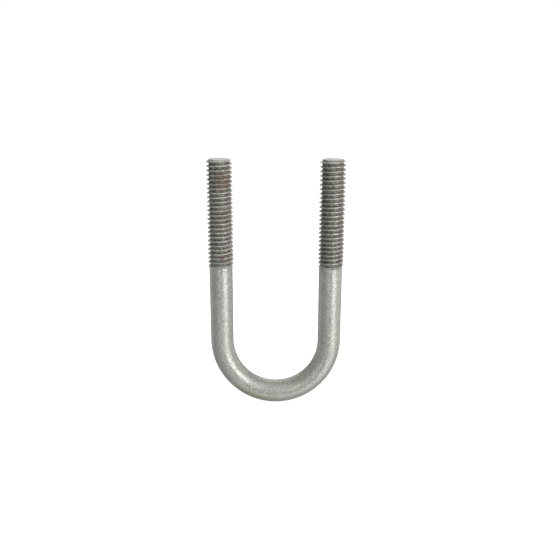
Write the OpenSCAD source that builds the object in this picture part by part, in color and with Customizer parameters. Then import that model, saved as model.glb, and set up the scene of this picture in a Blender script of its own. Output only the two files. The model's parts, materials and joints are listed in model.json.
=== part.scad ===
// U-bolt: one round steel rod bent into a U, with a right-hand rolled thread on each leg.
// The rod is drawn as the five stretches it is made up of, which meet end face to end face.
// +Z runs up the legs, X runs from leg to leg and Y runs along the pipe that the bolt holds.
// The origin is the centre of the bow's round bottom, where the axis of the pipe lies.

/* [Rod] */
// Diameter of the plain, galvanised rod
rod_d = 8.6; // [8.3:0.05:8.7]
// Distance between the centre lines of the legs
leg_spacing = 40.2; // [40:0.1:70]
// Radius of the rod's centre line round the bottom of the bow
bend_r = 19.4; // [18.5:0.1:20]
// Height of the leg ends above the origin
leg_h = 69.6; // [55:0.1:100]

/* [Thread] */
// Diameter over the crests of the thread
thread_d = 9.4; // [9.2:0.02:9.6]
// Number of threads in one inch
threads_per_inch = 16; // [14:1:18]
// Length of the thread on each leg, with its run-out
thread_l = 40; // [20:0.1:45]
// Turns over which the thread fades out towards the plain rod
runout_turns = 1; // [0.75:0.25:2]
// Angle at which the groove of the left leg starts
left_start = 255; // [0:1:359]
// Angle at which the groove of the right leg starts
right_start = 309; // [0:1:359]

/* [Leg ends] */
// Height of the chamfer on each leg end
chamfer_h = 0.8; // [0.4:0.1:1.2]

/* [Finish] */
// Steps in one turn of the thread
turn_steps = 24; // [18:6:36]
// Colour of the plain rod
rod_colour = "#A3A49D";
// Colour of the threads
thread_colour = "#7C7B74";

/* [Hidden] */
inch = 25.4;
pitch = inch / threads_per_inch;
rod_r = rod_d / 2;
crest_r = thread_d / 2;
leg_x = leg_spacing / 2;
// The bow's bottom arc ends this many degrees from the legs, where a wider arc takes over on each side
side_angle = 45;
// Height of the side arcs' centres, where the straight legs start
side_z = (leg_x - bend_r) * cos(side_angle) / (1 - cos(side_angle));
side_r = leg_x + side_z;
flank_angle = 30;
crest_flat = pitch / 8;
// Depth of an external 60 degree thread
thread_depth = 0.6134 * pitch;
root_r = crest_r - thread_depth;
// Half width of the groove's flat bottom
root_half = (pitch - crest_flat) / 2 - thread_depth * tan(flank_angle);
// The cutter stands this far outside the crests
cutter_proud = 0.1;
cutter_depth = thread_depth + cutter_proud;
cutter_half = root_half + cutter_depth * tan(flank_angle);
thread_z = leg_h - thread_l;
// Height over which the plain rod swells to the crests
shoulder_h = 1.2 * pitch;
// The cutter starts this far above the bottom of the thread and runs on past the leg end
cut_z = 0.35 * pitch;
cut_turns = ceil((thread_l - cut_z) / pitch) + 1;
round_fn = 96;

// How far the cutter is moved out of the metal, from 1 at its start to 0 after the run-out
function fade(turn) = max(0, 1 - turn / runout_turns);

// Cross-section of the cutter at a number of turns from its start, as four points in space
function cutter_section(turn, start) =
    let (
        angle = start + 360 * turn,
        out = fade(turn) * cutter_depth,
        z = cut_z + turn * pitch,
        inner = root_r + out,
        outer = inner + cutter_depth
    )
    [for (p = [[inner, -root_half], [outer, -cutter_half], [outer, cutter_half], [inner, root_half]])
        [p[0] * cos(angle), p[0] * sin(angle), z + p[1]]];

// Triangles of one side strip between a section and the next one
function strip(section, side) =
    let (
        a = 4 * section + side,
        b = 4 * section + (side + 1) % 4,
        c = b + 4,
        d = a + 4
    )
    [[a, b, c], [a, c, d]];

// Groove of the thread as a solid, swept right-handed up the leg from z = 0
module groove_cutter(start) {
    sections = cut_turns * turn_steps;
    last = 4 * sections;
    points = [for (i = [0:sections]) each cutter_section(i / turn_steps, start)];
    sides = [for (i = [0:sections - 1], side = [0:3]) each strip(i, side)];
    ends = [[0, 2, 1], [0, 3, 2], [last, last + 1, last + 2], [last, last + 2, last + 3]];
    polyhedron(points = points, faces = concat(sides, ends));
}

// Outline of the leg before its groove: the shoulder, the crests and the chamfer
module leg_blank() {
    end_r = crest_r - chamfer_h;
    rotate_extrude($fn = round_fn)
        polygon([
            [0, 0], [rod_r, 0], [crest_r, shoulder_h],
            [crest_r, thread_l - chamfer_h], [end_r, thread_l], [0, thread_l]
        ]);
}

module threaded_leg(start) {
    difference() {
        leg_blank();
        groove_cutter(start);
    }
}

module shank() {
    translate([0, 0, side_z]) cylinder(r = rod_r, h = thread_z - side_z, $fn = round_fn);
}

// Stretch of bent rod round a centre in the XZ plane, between two angles in degrees down from +X
module arc(radius, at_x, at_z, from, to) {
    translate([at_x, 0, at_z])
        rotate([-90, 0, 0])
            rotate([0, 0, from])
                rotate_extrude(angle = to - from, $fn = 2 * round_fn)
                    translate([radius, 0])
                        circle(r = rod_r, $fn = round_fn);
}

module bow() {
    color(rod_colour)
        union() {
            arc(side_r, -side_z, side_z, 0, side_angle);
            arc(bend_r, 0, 0, side_angle, 180 - side_angle);
            arc(side_r, side_z, side_z, 180 - side_angle, 180);
        }
}

module left_shank() {
    color(rod_colour) translate([-leg_x, 0, 0]) shank();
}

module right_shank() {
    color(rod_colour) translate([leg_x, 0, 0]) shank();
}

module left_thread() {
    color(thread_colour) translate([-leg_x, 0, thread_z]) threaded_leg(left_start);
}

module right_thread() {
    color(thread_colour) translate([leg_x, 0, thread_z]) threaded_leg(right_start);
}

bow();
left_shank();
right_shank();
left_thread();
right_thread();
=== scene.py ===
"""U-bolt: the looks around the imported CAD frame. Metres, +Z up the legs, X from leg to leg.

One bent rod carries a matte zinc coat. The rod and the two rolled threads are each one closed mesh with the
coat's relief in its vertices, and they meet ring to ring, so no seam shows between them.
"""

import json
import math

import bpy
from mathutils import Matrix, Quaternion, Vector, noise


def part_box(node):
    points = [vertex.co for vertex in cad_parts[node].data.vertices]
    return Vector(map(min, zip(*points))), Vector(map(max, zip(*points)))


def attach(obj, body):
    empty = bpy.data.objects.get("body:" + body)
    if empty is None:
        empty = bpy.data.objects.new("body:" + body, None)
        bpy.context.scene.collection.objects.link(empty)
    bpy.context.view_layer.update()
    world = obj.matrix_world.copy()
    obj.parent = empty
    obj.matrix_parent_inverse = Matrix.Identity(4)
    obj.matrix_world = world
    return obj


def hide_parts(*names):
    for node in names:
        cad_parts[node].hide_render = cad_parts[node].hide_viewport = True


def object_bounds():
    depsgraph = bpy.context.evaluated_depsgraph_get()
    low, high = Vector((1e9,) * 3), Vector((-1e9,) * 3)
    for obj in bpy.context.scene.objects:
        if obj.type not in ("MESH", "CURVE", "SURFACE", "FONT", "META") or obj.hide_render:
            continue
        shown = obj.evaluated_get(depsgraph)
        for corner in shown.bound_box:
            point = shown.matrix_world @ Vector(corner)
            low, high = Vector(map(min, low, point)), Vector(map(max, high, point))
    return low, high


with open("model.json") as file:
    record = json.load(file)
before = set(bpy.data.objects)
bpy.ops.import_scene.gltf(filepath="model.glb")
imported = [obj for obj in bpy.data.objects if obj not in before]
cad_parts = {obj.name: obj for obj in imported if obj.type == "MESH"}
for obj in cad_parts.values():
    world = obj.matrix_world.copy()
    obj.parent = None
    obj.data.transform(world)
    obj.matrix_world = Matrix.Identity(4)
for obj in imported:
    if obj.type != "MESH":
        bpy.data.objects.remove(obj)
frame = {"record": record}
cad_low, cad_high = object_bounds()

MM = 0.001

# ---------------------------------------------------------------- sizes, from the frame
thread_low, thread_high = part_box("left_thread")
shank_low, shank_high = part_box("left_shank")
LEG_X = -(shank_low.x + shank_high.x) / 2
CREST_R = (thread_high.y - thread_low.y) / 2
ROD_R = (shank_high.y - shank_low.y) / 2
THREAD_Z = thread_low.z
TOP_Z = thread_high.z
FLOOR_Z = cad_low.z
MIDDLE_Z = (cad_low.z + cad_high.z) / 2

# The bow is an arc under the pipe and a wider one at each side, which meet 45 degrees down.
seat = [mount for mount in frame["record"]["mounts"] if mount["name"] == "pipe_seat"][0]
BEND_R = seat["dims"]["r_mm"] * MM + ROD_R
SIDE_Z = (LEG_X - BEND_R) / (math.sqrt(2) - 1)

# ---------------------------------------------------------------- the thread, as in part.scad
INCH = 25.4 * MM
THREADS_PER_INCH = 16
PITCH = INCH / THREADS_PER_INCH
# Depth of an external 60 degree thread
DEPTH = 0.6134 * PITCH
# Where the middle of each groove starts: its height above the thread's foot, and its angle on each leg
GROOVE_START_Z = 0.35 * PITCH
LEFT_START = math.radians(255)
RIGHT_START = math.radians(309)
CHAMFER = 0.8 * MM
# Half widths of a crest's top and of a groove's bottom, in pitches
CREST_HALF = 0.05
ROOT_HALF = 0.0833
# Pitches over which the rod swells to the crests. The swelling starts a little above the middle of the
# groove's first turn, and the ridge below that turn reaches almost a pitch down.
SWELL = 0.6
SWELL_START = 0.05
SWELL_REACH = 0.95
# Share of groove dirt and painted shade that the plain rod at the thread's foot counts as, where a crest is
# 0 and the bottom of the groove is 1
PLAIN_SOIL_AND_SHADE = 0.4

# ---------------------------------------------------------------- how finely the meshes are cut
# Points in one turn round the rod, and rows of points in one pitch of the thread
COLUMNS = 120
ROWS_PER_PITCH = 16
# Greatest distance between two rings of the plain rod
RING_STEP = 0.3 * MM
# Rings on the flat end of a leg, as shares of its radius
END_RINGS = (0.97, 0.85, 0.65, 0.4, 0.18)

# ---------------------------------------------------------------- the zinc coat's relief
# Length and height of each wave, coarse to fine
RELIEF_WAVES = ((8.0 * MM, 0.022 * MM), (2.4 * MM, 0.014 * MM), (1.0 * MM, 0.006 * MM))
# The waves lie this far in, so that none stands proud of the CAD solids
RELIEF_SINK = 0.03 * MM
# Share of the relief on the flat ends of the legs
END_RELIEF_SHARE = 0.6


def smooth(x):
    """0 below 0, 1 above 1, with an easy curve between."""
    x = min(max(x, 0.0), 1.0)
    return x * x * (3 - 2 * x)


def mix(a, b, t):
    return a + (b - a) * t


def half_smooth(x):
    """Halfway between a straight rise from 0 to 1 and an easy one."""
    return mix(x, smooth(x), 0.5)


def relief(point):
    """How far the coat lies in from its outermost radius here, as a negative length."""
    total = -RELIEF_SINK
    for wave, height in RELIEF_WAVES:
        total += height * noise.noise(point / wave)
    return min(total, 0.0)


def new_object(name, points, faces, joints, groove=None):
    """A smooth mesh piece in the frame. Its joints are the flat faces that meet the next piece."""
    mesh = bpy.data.meshes.new(name)
    mesh.from_pydata(points, [], faces)
    mesh.validate()
    mesh.shade_smooth()
    for joint in joints:
        mesh.polygons[joint].use_smooth = False
    if groove:
        mesh.attributes.new("groove", "FLOAT", "POINT").data.foreach_set("value", groove)
    piece = bpy.data.objects.new(name, mesh)
    bpy.context.scene.collection.objects.link(piece)
    return piece


# ---------------------------------------------------------------- the plain rod
def arc(centre, radius, start, end):
    """Stations round an arc of the bow, in degrees from +X, without its last one."""
    steps = math.ceil(radius * math.radians(end - start) / RING_STEP)
    stations = []
    for i in range(steps):
        angle = math.radians(mix(start, end, i / steps))
        outward = Vector((math.cos(angle), 0, math.sin(angle)))
        stations.append((centre + outward * radius, outward))
    return stations


def rod_path():
    """Centre and outward direction of each ring, down the left leg, round the bow and up the right leg."""
    side_r = LEG_X + SIDE_Z
    steps = math.ceil((THREAD_Z - SIDE_Z) / RING_STEP)
    heights = [mix(THREAD_Z, SIDE_Z, i / steps) for i in range(steps + 1)]
    stations = [(Vector((-LEG_X, 0, z)), Vector((-1, 0, 0))) for z in heights[:-1]]
    stations += arc(Vector((SIDE_Z, 0, SIDE_Z)), side_r, 180, 225)
    stations += arc(Vector((0, 0, 0)), BEND_R, 225, 315)
    stations += arc(Vector((-SIDE_Z, 0, SIDE_Z)), side_r, 315, 360)
    stations += [(Vector((LEG_X, 0, z)), Vector((1, 0, 0))) for z in reversed(heights)]
    return stations


def make_rod():
    """The plain rod from one thread's foot to the other's, as a closed tube."""
    points = []
    for centre, outward in rod_path():
        for i in range(COLUMNS):
            angle = 2 * math.pi * i / COLUMNS
            direction = outward * math.cos(angle) + Vector((0, 1, 0)) * math.sin(angle)
            surface = centre + direction * ROD_R
            points.append(surface + direction * relief(surface))
    rings = len(points) // COLUMNS
    faces = []
    for ring in range(rings - 1):
        for i in range(COLUMNS):
            a = ring * COLUMNS + i
            b = ring * COLUMNS + (i + 1) % COLUMNS
            faces.append((a, b, b + COLUMNS, a + COLUMNS))
    last = (rings - 1) * COLUMNS
    faces.append(tuple(range(COLUMNS - 1, -1, -1)))
    faces.append(tuple(range(last, last + COLUMNS)))
    return new_object("zinc_rod", points, faces, (len(faces) - 2, len(faces) - 1))


# ---------------------------------------------------------------- the rolled threads
def groove_share(turns_off):
    """Share of the full depth at a distance from the groove's middle, in pitches."""
    flank = 0.5 - CREST_HALF - ROOT_HALF
    x = min(max((0.5 - CREST_HALF - abs(turns_off)) / flank, 0.0), 1.0)
    return half_smooth(x)


def thread_section(angle, height, start):
    """(radius without relief, share of groove dirt and painted shade) at an angle and a height above the
    thread's foot.

    The share sets the groove dirt and painted shade, the soot flecks and, where it is low, the painted
    crest highlight. A crest counts as 0, the bottom of the groove as 1 and the plain rod at the foot as
    PLAIN_SOIL_AND_SHADE.
    """
    first = ((angle - start) / (2 * math.pi)) % 1.0
    turns = (height - GROOVE_START_Z) / PITCH - first
    nearest = max(round(turns), 0)
    grown = half_smooth(first) if nearest == 0 else 1.0
    share = grown * groove_share(turns - nearest)
    first_ridge = smooth(first) * smooth((SWELL_REACH - abs(turns)) / SWELL)
    ridge = max(first_ridge, smooth((turns - SWELL_START) / SWELL))
    return mix(ROD_R, CREST_R, ridge) - DEPTH * share, max(share, PLAIN_SOIL_AND_SHADE * (1 - ridge))


def leg_end(radius, below_top):
    """The chamfer takes the radius down towards the leg's end."""
    cone = CREST_R - CHAMFER + below_top
    blend = 0.12 * MM
    h = min(max(0.5 + 0.5 * (cone - radius) / blend, 0.0), 1.0)
    return mix(cone, radius, h) - blend * h * (1 - h)


def make_thread(name, leg_x, start):
    """One thread. Its rows of points climb with the groove, from a foot point to a head point."""
    length = TOP_Z - THREAD_Z
    step = PITCH / ROWS_PER_PITCH
    # No row lies closer than this to the foot or the head
    gap = 0.3 * step
    points = []
    groove = []
    columns = []

    def add(angle, height):
        radius, soil_and_shade = thread_section(angle, height, start)
        radius = leg_end(radius, length - height)
        direction = Vector((math.cos(angle), math.sin(angle), 0))
        surface = Vector((leg_x, 0, THREAD_Z + height)) + direction * radius
        points.append(surface + direction * relief(surface))
        groove.append(soil_and_shade)
        return len(points) - 1

    for i in range(COLUMNS):
        angle = 2 * math.pi * i / COLUMNS
        rise = PITCH * i / COLUMNS
        lowest = math.ceil((gap - rise) / step)
        highest = math.floor((length - gap - rise) / step)
        column = {row: add(angle, rise + row * step) for row in range(lowest, highest + 1)}
        columns.append((add(angle, 0), column, add(angle, length)))

    faces = []
    for i in range(COLUMNS):
        foot, rows, head = columns[i]
        next_foot, next_rows, next_head = columns[(i + 1) % COLUMNS]
        if i == COLUMNS - 1:
            next_rows = {row - ROWS_PER_PITCH: point for row, point in next_rows.items()}
        shared = sorted(set(rows) & set(next_rows))
        for row in shared[:-1]:
            faces.append((rows[row], next_rows[row], next_rows[row + 1], rows[row + 1]))
        low, high = shared[0], shared[-1]
        here = [foot] + [rows[row] for row in sorted(rows) if row <= low]
        there = [next_foot] + [next_rows[row] for row in sorted(next_rows) if row <= low]
        faces.append(tuple(here[:1] + there + here[:0:-1]))
        here = [rows[row] for row in sorted(rows) if row >= high] + [head]
        there = [next_rows[row] for row in sorted(next_rows) if row >= high] + [next_head]
        faces.append(tuple(here[:1] + there + here[:0:-1]))
    foot_face = len(faces)
    faces.append(tuple(column[0] for column in reversed(columns)))
    add_leg_end(points, groove, faces, [column[2] for column in columns], leg_x)
    return new_object(name, points, faces, (foot_face,), groove)


def add_leg_end(points, groove, faces, rim, leg_x):
    """The flat end of the leg: rings from the rim to the middle, with the coat's faint relief."""
    middle = Vector((leg_x, 0, TOP_Z))
    outer = rim
    for share in END_RINGS:
        ring = []
        for i in rim:
            flat = middle + (points[i] - middle) * share
            points.append(Vector((flat.x, flat.y, TOP_Z + END_RELIEF_SHARE * relief(flat))))
            groove.append(0.0)
            ring.append(len(points) - 1)
        for i in range(COLUMNS):
            j = (i + 1) % COLUMNS
            faces.append((outer[i], outer[j], ring[j], ring[i]))
        outer = ring
    faces.append(tuple(outer))


# ---------------------------------------------------------------- materials
# Sizes of the coat's patches, specks and lumps
PATCH = 3.5 * MM
FILM_PATCH = 7 * MM
PALE_SPECK = 0.45 * MM
DARK_SPECK = 0.40 * MM
LUMP = 1.5 * MM
SHEEN_PATCH = 0.7 * MM
# Sizes of the marks on the threads
SOOT_FLECK = 0.6 * MM
# Patches that break up the painted highlight on the thread crests
CREST_HIGHLIGHT_PATCH = 1.3 * MM
STAIN_FLECK = 1.0 * MM
SPOT_EDGE = 2.5 * MM

# The coat is part bright metal and part dull oxide
METALLIC = 0.6


class Nodes:
    """A material's node tree, written as short calls."""

    def __init__(self, name):
        self.material = bpy.data.materials.new(name)
        self.material.use_nodes = True
        self.tree = self.material.node_tree
        self.shader = self.tree.nodes["Principled BSDF"]
        self.position = self.add("ShaderNodeTexCoord").outputs["Object"]

    def add(self, kind, **settings):
        node = self.tree.nodes.new(kind)
        for key, value in settings.items():
            setattr(node, key, value)
        return node

    def put(self, socket, value):
        if isinstance(value, bpy.types.NodeSocket):
            self.tree.links.new(value, socket)
        else:
            socket.default_value = value

    def noise(self, size, detail=3.0, roughness=0.55, vector=None):
        """Noise from about 0 to 1 whose lumps are this many metres across."""
        node = self.add("ShaderNodeTexNoise")
        self.put(node.inputs["Vector"], vector or self.position)
        self.put(node.inputs["Scale"], 1 / size)
        self.put(node.inputs["Detail"], detail)
        self.put(node.inputs["Roughness"], roughness)
        return node.outputs["Fac"]

    def ramp(self, value, low, high, to_low=0.0, to_high=1.0):
        """An easy step from to_low to to_high as the value goes from low to high."""
        node = self.add("ShaderNodeMapRange", interpolation_type="SMOOTHSTEP")
        for key, number in (("Value", value), ("From Min", low), ("From Max", high),
                            ("To Min", to_low), ("To Max", to_high)):
            self.put(node.inputs[key], number)
        return node.outputs["Result"]

    def math(self, operation, a, b):
        node = self.add("ShaderNodeMath", operation=operation)
        self.put(node.inputs[0], a)
        self.put(node.inputs[1], b)
        return node.outputs[0]

    def mix(self, share, a, b, blend="MIX"):
        node = self.add("ShaderNodeMix", data_type="RGBA", blend_type=blend)
        self.put(node.inputs["Factor"], share)
        for key, colour in (("A", a), ("B", b)):
            socket = [s for s in node.inputs if s.name == key and s.type == "RGBA"][0]
            self.put(socket, colour)
        return [s for s in node.outputs if s.type == "RGBA"][0]

    def bump(self, height, distance, strength, normal=None):
        node = self.add("ShaderNodeBump")
        self.put(node.inputs["Height"], height)
        self.put(node.inputs["Distance"], distance)
        self.put(node.inputs["Strength"], strength)
        if normal:
            self.put(node.inputs["Normal"], normal)
        return node.outputs["Normal"]

    def attribute(self, name):
        return self.add("ShaderNodeAttribute", attribute_name=name).outputs["Fac"]

    def spot(self, place, radius):
        """1 at this place, fading out raggedly to 0 round the radius."""
        distance = self.add("ShaderNodeVectorMath", operation="DISTANCE")
        self.put(distance.inputs[0], self.position)
        self.put(distance.inputs[1], place)
        ragged = self.math("MULTIPLY", self.noise(SPOT_EDGE), radius)
        return self.ramp(self.math("ADD", distance.outputs["Value"], ragged), 1.5 * radius, 0.9 * radius)

    def axis(self, name):
        """X, Y or Z in the frame, in metres."""
        parts = self.add("ShaderNodeSeparateXYZ")
        self.put(parts.inputs[0], self.position)
        return parts.outputs[name]

    def streaks(self, size, stretch):
        """Noise drawn out along the leg."""
        longer = self.add("ShaderNodeVectorMath", operation="MULTIPLY")
        self.put(longer.inputs[0], self.position)
        self.put(longer.inputs[1], (1, 1, 1 / stretch))
        return self.noise(size, 1, 0.6, longer.outputs["Vector"])


# Colours, as linear red, green, blue and alpha
ZINC = (0.345, 0.350, 0.322, 1)
# Pale zinc: for the pale specks, and for the painted highlight on the thread crests
ZINC_PALE = (0.62, 0.625, 0.59, 1)
ZINC_DARK = (0.165, 0.168, 0.148, 1)
WARM_FILM = (1.0, 0.99, 0.93, 1)
THREAD_FILM = (1.0, 0.98, 0.938, 1)
# Groove darkening: partly real dirt, partly painted shade in the recesses
GRIME_AND_GROOVE_SHADE = (0.16, 0.153, 0.13, 1)
RUST = (0.20, 0.135, 0.085, 1)
RED_RUST = (0.22, 0.145, 0.125, 1)
# Soot, for the flecks in the grooves and for the painted shade on the outer sides and inside the right leg
SOOT_AND_SHADE = (0.05, 0.048, 0.040, 1)
OLIVE = (0.26, 0.26, 0.14, 1)
PATINA = (0.20, 0.28, 0.26, 1)

# Where the coat drained off the bow and left an olive film on its outer side, in degrees from +X
DRAINED = (238, 249, 260, 269)
DRAINED_RADIUS = 5.5 * MM
DRAINED_SHARE = 0.33

# Stains on the fronts of the threads: tint, place along X, height, radius and strength
STAINS = (
    (RUST, -LEG_X + 0.4 * ROD_R, TOP_Z - 7.5 * MM, 5 * MM, 0.5),
    (RUST, -LEG_X + 0.4 * ROD_R, THREAD_Z + 19 * MM, 7 * MM, 0.12),
    (RED_RUST, -LEG_X + 0.4 * ROD_R, THREAD_Z + 4 * MM, 3 * MM, 0.54),
    (PATINA, -LEG_X - 0.3 * ROD_R, THREAD_Z + 2.6 * MM, 2.8 * MM, 0.55),
    (OLIVE, LEG_X + 0.5 * ROD_R, TOP_Z - 5 * MM, 4.5 * MM, 0.14),
)


def zinc_colour(n):
    """The coat's mottled grey: soft patches, a film in places, and a fine grain of pale and dark specks."""
    patches = n.ramp(n.noise(PATCH, 2), 0.35, 0.65)
    pale = n.ramp(n.noise(PALE_SPECK, 2, 0.7), 0.46, 0.66)
    dark = n.ramp(n.noise(DARK_SPECK, 2, 0.7), 0.54, 0.34)
    colour = n.mix(n.math("MULTIPLY", patches, 0.12), ZINC, ZINC_PALE)
    colour = n.mix(n.math("MULTIPLY", pale, 0.65), colour, ZINC_PALE)
    colour = n.mix(n.math("MULTIPLY", dark, 0.65), colour, ZINC_DARK)
    return n.mix(n.ramp(n.noise(FILM_PATCH, 2), 0.4, 0.6, 0, 0.4), colour, WARM_FILM, "MULTIPLY")


def zinc_bump(n):
    """Fine grain on top of soft lumps."""
    lumps = n.bump(n.noise(LUMP, 2), 0.16 * MM, 0.85)
    return n.bump(n.noise(PALE_SPECK, 2, 0.6), 0.10 * MM, 0.85, lumps)


def rod_material():
    n = Nodes("galvanised_rod")
    colour = zinc_colour(n)
    for degrees in DRAINED:
        outward = Vector((math.cos(math.radians(degrees)), 0, math.sin(math.radians(degrees))))
        outer = outward * (BEND_R + 0.8 * ROD_R) - Vector((0, 0.5 * ROD_R, 0))
        colour = n.mix(n.math("MULTIPLY", n.spot(outer, DRAINED_RADIUS), DRAINED_SHARE), colour, OLIVE)
    n.put(n.shader.inputs["Base Color"], colour)
    n.put(n.shader.inputs["Metallic"], METALLIC)
    n.put(n.shader.inputs["Roughness"], n.ramp(n.noise(SHEEN_PATCH), 0.3, 0.7, 0.26, 0.42))
    n.put(n.shader.inputs["Normal"], zinc_bump(n))
    return n.material


def soil_shade_and_highlight_colour(n, colour, depth):
    """Painted highlight on the crests, dirt and painted shade in the grooves, soot flecks, and painted
    shade on the outer sides and inside the right leg.
    """
    across = n.axis("X")
    outer = n.ramp(n.math("ABSOLUTE", across, 0), LEG_X + 0.35 * ROD_R, LEG_X + ROD_R)
    # Painted highlight: the crests are painted paler, broken up in patches and weaker on the outer sides.
    crest_highlight = n.ramp(n.noise(CREST_HIGHLIGHT_PATCH, 2), 0.35, 0.65, 0.4, 1.0)
    crest_highlight = n.math("SUBTRACT", crest_highlight, n.math("MULTIPLY", outer, 0.45))
    colour = n.mix(1.0, colour, THREAD_FILM, "MULTIPLY")
    colour = n.mix(n.math("MULTIPLY", n.ramp(depth, 0.5, 0.0, 0, 0.8), crest_highlight), colour, ZINC_PALE)
    # The grooves darken towards their bottoms: partly real dirt, partly painted shade in the recess.
    colour = n.mix(n.ramp(depth, 0.4, 1.0, 0, 0.5), colour, GRIME_AND_GROOVE_SHADE)
    flecks = n.ramp(n.streaks(SOOT_FLECK, 1.6), 0.54, 0.42)
    colour = n.mix(n.math("MULTIPLY", flecks, n.ramp(depth, 0.1, 0.7, 0.2, 0.75)), colour, SOOT_AND_SHADE)
    # Painted shade: the outer sides of both threads and the inner side of the right leg are darkened with
    # soot colour.
    right_leg = n.ramp(across, 0, LEG_X - 2 * ROD_R)
    right_leg_inner_shade = n.math("MULTIPLY", n.ramp(across, LEG_X + 0.3 * ROD_R, LEG_X - ROD_R, 0, 0.35), right_leg)
    return n.mix(n.math("ADD", right_leg_inner_shade, n.math("MULTIPLY", outer, 0.14)), colour, SOOT_AND_SHADE)


def stain_colour(n, colour):
    """The coloured stains on the front of each thread, broken up into flecks."""
    flecked = n.ramp(n.noise(STAIN_FLECK, 2), 0.38, 0.58, 0.35, 1.25)
    for tint, x, z, radius, share in STAINS:
        stain = n.math("MULTIPLY", n.spot((x, -CREST_R, z), radius), share)
        colour = n.mix(n.math("MULTIPLY", stain, flecked), colour, tint)
    return colour


def thread_material():
    n = Nodes("galvanised_thread")
    uneven = n.ramp(n.noise(SOOT_FLECK, 1), 0.25, 0.75, -0.35, 0.35)
    depth = n.math("ADD", n.attribute("groove"), uneven)
    plain = zinc_colour(n)
    # Stains, soot flecks and groove dirt, with the painted shade and the painted crest highlight
    soiled_and_shaded = stain_colour(n, soil_shade_and_highlight_colour(n, plain, depth))
    threaded = n.ramp(n.axis("Z"), THREAD_Z + 0.3 * PITCH, THREAD_Z + 1.5 * PITCH)
    n.put(n.shader.inputs["Base Color"], n.mix(threaded, plain, soiled_and_shaded))
    n.put(n.shader.inputs["Metallic"], METALLIC)
    n.put(n.shader.inputs["Roughness"], n.ramp(depth, 0.3, 0.8, 0.28, 0.5))
    n.put(n.shader.inputs["Normal"], zinc_bump(n))
    return n.material


def floor_material():
    """A white light table: it glows enough that no more than a faint shadow shows on it."""
    n = Nodes("pale_floor")
    n.put(n.shader.inputs["Base Color"], (0.6, 0.6, 0.6, 1))
    n.put(n.shader.inputs["Roughness"], 0.9)
    n.put(n.shader.inputs["Emission Color"], (1, 1, 1, 1))
    n.put(n.shader.inputs["Emission Strength"], 0.85)
    n.put(n.shader.inputs["Normal"], n.bump(n.noise(2 * MM, 2), 0.01 * MM, 0.1))
    return n.material


# ---------------------------------------------------------------- camera, floor and light
def make_camera():
    """Looks down on the front of the bolt from a little over a quarter of a metre away."""
    pitch = math.radians(16.84)
    roll = math.radians(0.26)
    distance = 271.7 * MM
    target = Vector((1.56 * MM, 0, MIDDLE_Z + 2.22 * MM))
    away = Vector((0, -math.cos(pitch), math.sin(pitch)))
    data = bpy.data.cameras.new("camera")
    data.lens = 47.3
    data.sensor_width = 36
    data.clip_start = 0.01
    data.clip_end = 50
    camera = bpy.data.objects.new("camera", data)
    camera.location = target + away * distance
    camera.rotation_euler = (away.to_track_quat("Z", "Y") @ Quaternion((0, 0, 1), roll)).to_euler()
    bpy.context.scene.collection.objects.link(camera)
    bpy.context.scene.camera = camera


def make_floor():
    """A wide plane at the bottom of the bow, which only the camera sees."""
    half = 6.0
    corners = [(x * half, y * half, FLOOR_Z) for x, y in ((-1, -1), (1, -1), (1, 1), (-1, 1))]
    mesh = bpy.data.meshes.new("floor")
    mesh.from_pydata(corners, [], [(0, 1, 2, 3)])
    mesh.materials.append(floor_material())
    floor = bpy.data.objects.new("floor", mesh)
    bpy.context.scene.collection.objects.link(floor)
    floor.visible_diffuse = False
    floor.visible_glossy = False
    floor.visible_shadow = False


def add_softbox(name, azimuth, elevation, distance, size, power):
    """An area light that faces the middle of the bolt. Azimuth 0 is in front, positive to the right."""
    a, e = math.radians(azimuth), math.radians(elevation)
    away = Vector((math.sin(a) * math.cos(e), -math.cos(a) * math.cos(e), math.sin(e)))
    data = bpy.data.lights.new(name, "AREA")
    data.shape = "RECTANGLE"
    data.size, data.size_y = size
    data.energy = power
    light = bpy.data.objects.new(name, data)
    light.visible_camera = False
    light.location = Vector((0, 0, MIDDLE_Z)) + away * distance
    light.rotation_euler = away.to_track_quat("Z", "Y").to_euler()
    bpy.context.scene.collection.objects.link(light)


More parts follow.
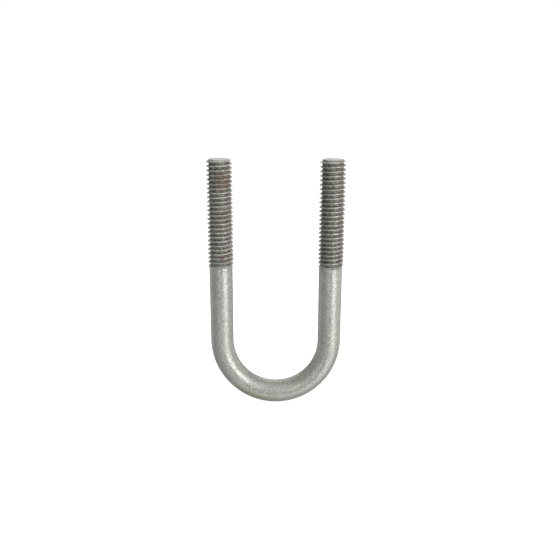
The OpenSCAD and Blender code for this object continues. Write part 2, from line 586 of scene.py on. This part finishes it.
def make_light():
    """A white studio: even light all round, a white background for the camera, and softboxes."""
    world = bpy.data.worlds.new("studio")
    bpy.context.scene.world = world
    world.use_nodes = True
    tree = world.node_tree
    background = tree.nodes["Background"]
    background.inputs["Color"].default_value = (1, 1, 1, 1)
    background.inputs["Strength"].default_value = 0.44
    white = tree.nodes.new("ShaderNodeBackground")
    white.inputs["Color"].default_value = (1, 1, 1, 1)
    choose = tree.nodes.new("ShaderNodeMixShader")
    path = tree.nodes.new("ShaderNodeLightPath")
    tree.links.new(path.outputs["Is Camera Ray"], choose.inputs[0])
    tree.links.new(background.outputs[0], choose.inputs[1])
    tree.links.new(white.outputs[0], choose.inputs[2])
    tree.links.new(choose.outputs[0], tree.nodes["World Output"].inputs["Surface"])
    add_softbox("key", 40, 2, 0.6, (0.24, 0.32), 1.6)
    add_softbox("right_low", 45, -32, 0.7, (0.6, 0.4), 1.2)
    add_softbox("right_high", 45, 34, 0.7, (0.6, 0.4), 0.7)
    add_softbox("right", 100, 5, 0.7, (0.7, 0.7), 1.25)
    add_softbox("front_left", -16, 4, 0.6, (0.12, 0.3), 0.4)
    add_softbox("front_low", 0, -45, 0.7, (0.5, 0.3), 0.42)
    add_softbox("front_high", -6, 40, 0.7, (0.5, 0.3), 0.3)
    add_softbox("top", 0, 75, 0.7, (0.8, 0.7), 0.8)
    add_softbox("back", 180, 35, 0.7, (0.9, 0.6), 1.4)
    add_softbox("back_low", 180, -24, 0.6, (0.2, 0.24), 1.2)
    add_softbox("left_low", -112, -17, 0.6, (0.16, 0.24), 0.12)
    bpy.context.scene.view_settings.view_transform = "Standard"


make_camera()
make_floor()
make_light()

rod = make_rod()
rod.data.materials.append(rod_material())
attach(rod, "root")
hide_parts("bow", "left_shank", "right_shank")

thread_zinc = thread_material()
for side, leg_x, start in (("left", -LEG_X, LEFT_START), ("right", LEG_X, RIGHT_START)):
    thread = make_thread("zinc_thread_" + side, leg_x, start)
    thread.data.materials.append(thread_zinc)
    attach(thread, "root")
    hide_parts(side + "_thread")
